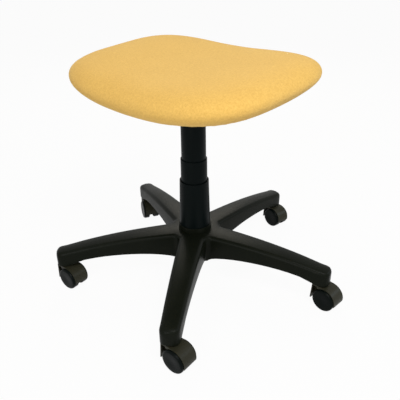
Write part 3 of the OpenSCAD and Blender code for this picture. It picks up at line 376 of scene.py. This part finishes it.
for k in range(STAPLE_COUNT):
    phi = math.pi * (2 * k + 1) / STAPLE_COUNT
    at, beside = (seat_point(phi + step, STAPLE_SHARE, "under") for step in (0, 0.02))
    struck, spot, outwards, face = dust_sheet.ray_cast((at.x, at.y, BELOW_SEAT_Z), (0, 0, 1))
    along = (beside - at).cross(outwards).cross(outwards).normalized()
    only(staple)
    bpy.ops.object.duplicate()
    driven = bpy.context.object
    turn = Matrix((along, outwards.cross(along), outwards)).transposed()
    driven.matrix_world = Matrix.Translation(spot + outwards * WIRE / 6) @ turn.to_4x4()
    bpy.ops.object.transform_apply()
    staples.append(driven)
bpy.data.objects.remove(staple)
bpy.ops.object.select_all(action="DESELECT")
for driven in staples:
    driven.select_set(True)
bpy.context.view_layer.objects.active = staples[0]
bpy.ops.object.join()
staples[0].name = "staples"
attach(staples[0], "seat")

# Board, seat plate and lever. Raw plywood; a pressed steel tray in black powder coat, held by
# four button-head screws; and a bent black rod with a moulded paddle for the fingers.
plywood = Finish("plywood", Roughness=0.7)
plies = plywood.node("ShaderNodeTexWave", {"bands_direction": "Z"},
                     {"Vector": plywood.place, "Scale": 95.0, "Distortion": 0.6})
plywood.feed("Base Color", plywood.between(plies, (0.42, 0.27, 0.13), (0.68, 0.50, 0.30)))
plywood.on(nodes["seat_board"])


def plastic_or_paint(name, dark, light, rough, grain_scale, grain_depth, **fixed):
    """A dark moulded or coated surface: fine grain, and a gloss that wanders a little."""
    made = Finish(name, **fixed)
    fine = made.noise(grain_scale, 3.0, 0.6)
    broad = made.noise(22.0, 2.0)
    made.feed("Base Color", made.between(fine * 0.4 + broad * 0.6, dark, light))
    made.feed("Roughness", rough + (broad - 0.5) * 0.12 + (fine - 0.5) * 0.08)
    made.bump(fine, strength=0.35, distance=grain_depth)
    return made


def eased(node, width=0.0, sharp=35):
    """Shades a CAD node smooth up to its sharp edges, and rounds those by a small width."""
    piece = nodes[node]
    for face in piece.data.polygons:
        face.use_smooth = True
    piece.modifiers.new("joined", "WELD").merge_threshold = 0.000002
    if width:
        rounded = piece.modifiers.new("eased", "BEVEL")
        rounded.width, rounded.segments = width, 2
        rounded.limit_method, rounded.angle_limit = "ANGLE", math.radians(sharp)
        rounded.use_clamp_overlap = True
        piece.modifiers.new("even_shade", "WEIGHTED_NORMAL").keep_sharp = False
    else:
        piece.modifiers.new("split", "EDGE_SPLIT").split_angle = math.radians(sharp)


powder_coat = plastic_or_paint("black_powder_coat", (0.008, 0.008, 0.008), (0.014, 0.014, 0.014),
                               rough=0.42, grain_scale=750.0, grain_depth=0.0003,
                               Specular_IOR_Level=0.25)
powder_coat.on(*(nodes[n] for n in ("seat_plate", "lever_rod", "gas_cylinder", "column_tube")))
PLATE_EASE_R = 0.0012
eased("seat_plate", PLATE_EASE_R)
for name in ("lever_rod", "gas_cylinder", "column_tube", "seat_board", "tee_nuts", "plate_screws",
             "lever_pin", "release_pin", "upper_washer", "thrust_bearing", "lower_washer",
             "retaining_clip", "piston_rod", "piston", "rod_guide", "guide_bush", "bumper"):
    eased(name)

LEVER_PIVOT, LEVER_DROOP = Vector((-0.045, 0, 0.412)), math.radians(7)
HANDLE_START, NECK_R, NECK_EASE_R = 0.098, 0.0065, 0.0006
# each ring of the handle: its distance from the last one, its half thickness and half width
HANDLE_RINGS = ((0.001, 0.0065, 0.0065), (0.011, 0.0062, 0.0067), (0.013, 0.0054, 0.0088),
                (0.014, 0.0049, 0.0121), (0.013, 0.0047, 0.0144), (0.012, 0.0047, 0.0150),
                (0.012, 0.0046, 0.0144), (0.007, 0.0041, 0.0121), (0.004, 0.0030, 0.0086),
                (0.001, 0.0016, 0.0050))
bpy.ops.object.select_all(action="DESELECT")
bpy.ops.mesh.primitive_circle_add(vertices=20, radius=NECK_R, fill_type="NGON")
handle = bpy.context.object
handle.name = "paddle_handle"
bpy.ops.object.mode_set(mode="EDIT")
thick, wide = NECK_R, NECK_R
for step, next_thick, next_wide in HANDLE_RINGS:
    bpy.ops.mesh.extrude_region_move(TRANSFORM_OT_translate={"value": (0, 0, step)})
    bpy.ops.transform.resize(value=(next_thick / thick, next_wide / wide, 1))
    thick, wide = next_thick, next_wide
bpy.ops.mesh.select_all(action="SELECT")
bpy.ops.mesh.normals_make_consistent(inside=False)
bpy.ops.object.mode_set(mode="OBJECT")
handle.modifiers.new("neck_edge", "BEVEL").width = NECK_EASE_R
handle.modifiers["neck_edge"].limit_method = "ANGLE"
handle.modifiers["neck_edge"].angle_limit = math.radians(60)
handle.modifiers.new("smooth_form", "SUBSURF").levels = 2
handle.modifiers["smooth_form"].render_levels = 2
apply_modifiers(handle)
bpy.ops.object.shade_smooth()
handle.matrix_world = (Matrix.Translation(LEVER_PIVOT)
                       @ Matrix.Rotation(-math.pi / 2 - LEVER_DROOP, 4, "Y")
                       @ Matrix.Translation((0, 0, HANDLE_START)))
only(handle)
bpy.ops.object.transform_apply()
handle_plastic = plastic_or_paint("handle_plastic", (0.008, 0.008, 0.008), (0.013, 0.013, 0.013),
                                  rough=0.5, grain_scale=1500.0, grain_depth=0.0002,
                                  Specular_IOR_Level=0.25)
handle_plastic.on(handle)
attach(handle, "lever")
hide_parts("lever_handle")
handle_plastic.on(nodes["lever_handle"])
zinc.on(*(nodes[n] for n in ("tee_nuts", "plate_screws", "lever_pin", "release_pin")))
plain_steel = metal("plain_steel", (0.55, 0.55, 0.55), rough=0.3, lines=700.0)
plain_steel.on(*(nodes[n] for n in ("upper_washer", "thrust_bearing", "lower_washer",
                                    "retaining_clip")))
metal("chromed_rod", (0.78, 0.78, 0.79), rough=0.12).on(nodes["piston_rod"])
metal("piston_alloy", (0.7, 0.7, 0.7), rough=0.35, lines=900.0).on(nodes["piston"])
acetal = plastic_or_paint("natural_acetal", (0.62, 0.60, 0.55), (0.75, 0.73, 0.68),
                          rough=0.45, grain_scale=400.0, grain_depth=0.0002)
acetal.on(nodes["rod_guide"], nodes["guide_bush"])
rubber = plastic_or_paint("buffer_rubber", (0.012, 0.012, 0.012), (0.03, 0.03, 0.03),
                          rough=0.75, grain_scale=500.0, grain_depth=0.0003)
rubber.on(nodes["bumper"])

# Telescopic cover. Three satin black polypropylene sleeves with thin rolled rims that catch
# the light; they slide over each other as the seat goes up and down.
def arc(centre_r, centre_z, radius, first_deg, last_deg, steps):
    """Points of a round stretch of a section, as radius and height."""
    turns = [math.radians(first_deg + (last_deg - first_deg) * k / steps) for k in range(steps + 1)]
    return [(centre_r + radius * math.cos(a), centre_z + radius * math.sin(a)) for a in turns]


def turned(name, section, steps=96):
    """Draws a section point by point and spins it about the Z axis into a closed piece."""
    bpy.ops.object.select_all(action="DESELECT")
    bpy.ops.mesh.primitive_plane_add(size=0.001)
    piece = bpy.context.object
    piece.name = name
    bpy.ops.object.mode_set(mode="EDIT")
    bpy.ops.mesh.select_mode(type="VERT")
    bpy.ops.mesh.select_all(action="SELECT")
    bpy.ops.mesh.merge(type="CENTER")
    bpy.ops.transform.translate(value=(section[0][0], 0, section[0][1]))
    for (r, z), (next_r, next_z) in zip(section, section[1:]):
        bpy.ops.mesh.extrude_region_move(
            TRANSFORM_OT_translate={"value": (next_r - r, 0, next_z - z)})
    bpy.ops.mesh.select_all(action="SELECT")
    bpy.ops.mesh.spin(steps=steps, angle=2 * math.pi, center=(0, 0, 0), axis=(0, 0, 1))
    bpy.ops.mesh.select_all(action="SELECT")
    bpy.ops.mesh.remove_doubles(threshold=0.000005)
    bpy.ops.mesh.normals_make_consistent(inside=False)
    bpy.ops.object.mode_set(mode="OBJECT")
    bpy.ops.object.shade_smooth_by_angle(angle=math.radians(38))
    return piece


sleeve_plastic = plastic_or_paint("sleeve_plastic",
                                  (0.0014, 0.0032, 0.0032), (0.0028, 0.0050, 0.0050),
                                  rough=0.40, grain_scale=1100.0, grain_depth=0.00012,
                                  Specular_IOR_Level=0.05)


def sleeve(node, body, section):
    made = turned(node.replace("cover", "sleeve"), section)
    sleeve_plastic.on(made, nodes[node])
    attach(made, body)
    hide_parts(node)


RIM_R = 0.00045
UPPER_FOOT_Z, UPPER_TOP_Z = 0.244, 0.394
UPPER_FOOT_R, UPPER_TOP_R, UPPER_WALL = 0.027, 0.0263, 0.001
WEB_T, WEB_R = 0.0025, 0.01755
sleeve("cover_upper", "seat",
       arc(UPPER_FOOT_R - UPPER_WALL / 2, UPPER_FOOT_Z + UPPER_WALL / 2, UPPER_WALL / 2,
           180, 360, 8)
       + arc(UPPER_TOP_R - RIM_R, UPPER_TOP_Z - RIM_R, RIM_R, 0, 90, 4)
       + [(WEB_R, UPPER_TOP_Z), (WEB_R, UPPER_TOP_Z - WEB_T),
          (UPPER_TOP_R - UPPER_WALL, UPPER_TOP_Z - WEB_T),
          (UPPER_FOOT_R - UPPER_WALL, UPPER_FOOT_Z + UPPER_WALL / 2)])
MIDDLE_FOOT_Z, MIDDLE_TOP_Z = 0.1689, 0.2869
MIDDLE_FOOT_R, MIDDLE_TOP_R, MIDDLE_WALL = 0.0293, 0.0289, 0.0012
BEAD_R, BEAD_H, BEAD_TAPER_H, LIP_R, LIP_H = 0.031561, 0.003, 0.002, 0.0273, 0.003
sleeve("cover_middle", "middle_sleeve",
       [(MIDDLE_FOOT_R - MIDDLE_WALL, MIDDLE_FOOT_Z)]
       + arc(BEAD_R - RIM_R, MIDDLE_FOOT_Z + RIM_R, RIM_R, 270, 360, 4)
       + [(BEAD_R, MIDDLE_FOOT_Z + BEAD_H), (MIDDLE_FOOT_R, MIDDLE_FOOT_Z + BEAD_H + BEAD_TAPER_H)]
       + arc(MIDDLE_TOP_R - RIM_R, MIDDLE_TOP_Z - RIM_R, RIM_R, 0, 90, 4)
       + arc(LIP_R + RIM_R, MIDDLE_TOP_Z - RIM_R, RIM_R, 90, 180, 4)
       + [(LIP_R, MIDDLE_TOP_Z - LIP_H), (MIDDLE_TOP_R - MIDDLE_WALL, MIDDLE_TOP_Z - LIP_H),
          (MIDDLE_FOOT_R - MIDDLE_WALL, MIDDLE_FOOT_Z)])
LOWER_FOOT_Z, LOWER_TOP_Z = 0.118, 0.2362
LOWER_FOOT_R, LOWER_TOP_R, LOWER_WALL = 0.0353, 0.0323, 0.0015
sleeve("cover_lower", "base",
       [(LOWER_FOOT_R - LOWER_WALL, LOWER_FOOT_Z), (LOWER_FOOT_R, LOWER_FOOT_Z)]
       + arc(LOWER_TOP_R - RIM_R, LOWER_TOP_Z - RIM_R, RIM_R, 0, 90, 4)
       + arc(LOWER_TOP_R - LOWER_WALL + RIM_R, LOWER_TOP_Z - RIM_R, RIM_R, 90, 180, 4)
       + [(LOWER_FOOT_R - LOWER_WALL, LOWER_FOOT_Z)])

# Star base. One moulding in black glass-filled nylon: a hub with a rolled ring round the
# cover's foot and five arched arms with rounded edges, ribbed underneath.
base_nylon = plastic_or_paint("base_nylon", (0.0036, 0.0048, 0.0028), (0.0070, 0.0084, 0.0052),
                              rough=0.36, grain_scale=900.0, grain_depth=0.0003,
                              Specular_IOR_Level=0.055)
base_nylon.on(nodes["star_base"])
eased("star_base", sharp=32)
RING_IN_R, RING_OUT_R, RING_EASE_R = 0.0354, 0.03745, 0.0009
RING_FOOT_Z, RING_TOP_Z = 0.1135, 0.1287
hub_ring = turned("hub_ring",
                  [(RING_IN_R, RING_FOOT_Z), (RING_OUT_R, RING_FOOT_Z)]
                  + arc(RING_OUT_R - RING_EASE_R, RING_TOP_Z - RING_EASE_R, RING_EASE_R, 0, 90, 6)
                  + arc(RING_IN_R + RING_EASE_R, RING_TOP_Z - RING_EASE_R, RING_EASE_R, 90, 180, 6)
                  + [(RING_IN_R, RING_FOOT_Z)])
base_nylon.on(hub_ring)
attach(hub_ring, "base")

# Casters. Smooth black nylon wheels, moulded as cups with a round shoulder and a shallow dish,
# run on a steel axle under a moulded hood, whose zinc plated stem snaps into the arm's end.
WHEEL_R, WHEEL_OUT, WHEEL_IN, SHOULDER_R, CHAMFER = 0.025, 0.0218, 0.0062, 0.0044, 0.0012
FACE_DISH, FACE_RIM_R, TREAD_T, DISC_T = 0.0008, 0.0176, 0.0034, 0.003
HUB_R, BORE_R, BORE_END, HOOD_EASE_R = 0.007, 0.00305, 0.0185, 0.0005
STEM_CIRCLE, TRAIL, ARM_COUNT, REAR_ARM_DEG = 0.3, 0.0195, 5, 90
# where each caster trails, as an angle from the X axis; the arms follow each other in this order
TRAIL_DEGS = {"rear": -8, "right": -27, "front_right": 7.4, "front_left": 5.7, "left": -1.8}
wheel = turned("wheel", (
    [(FACE_RIM_R * k / 8, WHEEL_OUT - FACE_DISH * (0.5 + 0.5 * math.cos(math.pi * k / 8)))
     for k in range(9)]
    + arc(WHEEL_R - SHOULDER_R, WHEEL_OUT - SHOULDER_R, SHOULDER_R, 90, 0, 8)
    + [(WHEEL_R, WHEEL_IN + CHAMFER), (WHEEL_R - CHAMFER, WHEEL_IN), (WHEEL_R - TREAD_T, WHEEL_IN),
       (WHEEL_R - TREAD_T, WHEEL_OUT - DISC_T), (HUB_R, WHEEL_OUT - DISC_T), (HUB_R, WHEEL_IN),
       (BORE_R, WHEEL_IN), (BORE_R, BORE_END), (0, BORE_END)]))
hood_nylon = plastic_or_paint("hood_nylon", (0.0180, 0.0178, 0.0105), (0.0270, 0.0262, 0.0160),
                              rough=0.40, grain_scale=1100.0, grain_depth=0.0003,
                              Specular_IOR_Level=0.12)
wheel_nylon = plastic_or_paint("wheel_nylon", (0.0012, 0.0026, 0.0022), (0.0026, 0.0042, 0.0038),
                               rough=0.33, grain_scale=700.0, grain_depth=0.0001,
                               Specular_IOR_Level=0.05)
wheel_nylon.on(wheel)
for k, (place, trail_deg) in enumerate(TRAIL_DEGS.items()):
    arm = math.radians(REAR_ARM_DEG + 360 / ARM_COUNT * k)
    behind = math.radians(trail_deg)
    axle_at = Vector((STEM_CIRCLE * math.cos(arm) + TRAIL * math.cos(behind),
                      STEM_CIRCLE * math.sin(arm) + TRAIL * math.sin(behind), WHEEL_R))
    for number, side in ((1, 1), (2, -1)):
        only(wheel)
        bpy.ops.object.duplicate()
        fitted = bpy.context.object
        fitted.name = f"wheel_{place}_{number}_turned"
        fitted.matrix_world = (Matrix.Translation(axle_at) @ Matrix.Rotation(behind, 4, "Z")
                               @ Matrix.Rotation(-side * math.pi / 2, 4, "X"))
        bpy.ops.object.transform_apply()
        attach(fitted, f"wheel_{place}_{number}")
        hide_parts(f"wheel_{place}_{number}")
        wheel_nylon.on(nodes[f"wheel_{place}_{number}"])
    hood_nylon.on(nodes["hood_" + place])
    eased("hood_" + place, HOOD_EASE_R)
    zinc.on(nodes["stem_" + place])
    plain_steel.on(nodes["grip_ring_" + place], nodes["axle_" + place])
    for name in ("stem_", "grip_ring_", "axle_"):
        eased(name + place)
bpy.data.objects.remove(wheel)

# Floor, lights and background. A pale floor under a white surround, a large soft light from the
# right, a warm one and a cool one from behind, which draw the highlights, and a low one in front.
FLOOR_SIZE, FLOOR_GREY, FLOOR_WHITE_SHARE = 40, 0.7, 0.95
SURROUND_TINT, SURROUND_STRENGTH = (1.0, 0.975, 0.93, 1), 0.38
WHITE = (1.0, 1.0, 1.0, 1)


def seen_white(shader):
    """1 for the camera's rays and for reflected and refracted ones, which all meet plain white."""
    by_camera, by_gloss, through_glass = (
        shader.node("ShaderNodeLightPath", {}, {}, f"Is {kind} Ray")
        for kind in ("Camera", "Glossy", "Transmission"))
    return by_camera + by_gloss + through_glass


bpy.ops.object.select_all(action="DESELECT")
bpy.ops.mesh.primitive_plane_add(size=FLOOR_SIZE, location=(0, 0, 0))
floor = bpy.context.object
floor.name = "floor"
paper = Finish("pale_floor", Base_Color=(FLOOR_GREY, FLOOR_GREY, FLOOR_GREY, 1), Roughness=0.9,
               Specular_IOR_Level=0.1)
glow = paper.node("ShaderNodeEmission", {}, {"Color": WHITE, "Strength": 1.0})
paper.show("Material Output", paper.node("ShaderNodeMixShader", {}, {
    "Fac": seen_white(paper) * FLOOR_WHITE_SHARE,
    1: Wire(paper, paper.surface.outputs["BSDF"]), 2: glow}))
paper.on(floor)

world = bpy.data.worlds.new("surround")
bpy.context.scene.world = world
world.use_nodes = True
sky = Shader(world.node_tree)
surround = sky.node("ShaderNodeBackground", {},
                    {"Color": SURROUND_TINT, "Strength": SURROUND_STRENGTH})
backdrop = sky.node("ShaderNodeBackground", {}, {"Color": WHITE, "Strength": 1.0})
sky.show("World Output", sky.node("ShaderNodeMixShader", {}, {
    "Fac": seen_white(sky), 1: surround, 2: backdrop}))

# each lamp: its name, place, size, power and colour; all of them face the stool's middle
MIDDLE = Vector((0, 0, 0.3))
LAMPS = (("key_light", (1.2, -0.5, 2.0), 0.8, 24, (1.0, 0.985, 0.97)),
         ("back_light", (-1.35, 1.4, 1.5), 0.9, 13.5, (1.0, 0.94, 0.80)),
         ("cool_light", (1.5, 1.4, 1.1), 0.5, 7, (0.72, 0.86, 1.0)),
         ("fill_light", (0.7, -1.8, 0.8), 0.7, 10.5, (1.0, 0.99, 0.98)))
for name, place, size, power, colour in LAMPS:
    bpy.ops.object.light_add(type="AREA", location=place)
    lamp = bpy.context.object
    lamp.name = name
    lamp.data.size, lamp.data.energy, lamp.data.color = size, power, colour
    lamp.rotation_euler = (MIDDLE - Vector(place)).to_track_quat("-Z", "Y").to_euler()

bpy.context.scene.view_settings.view_transform = "Standard"
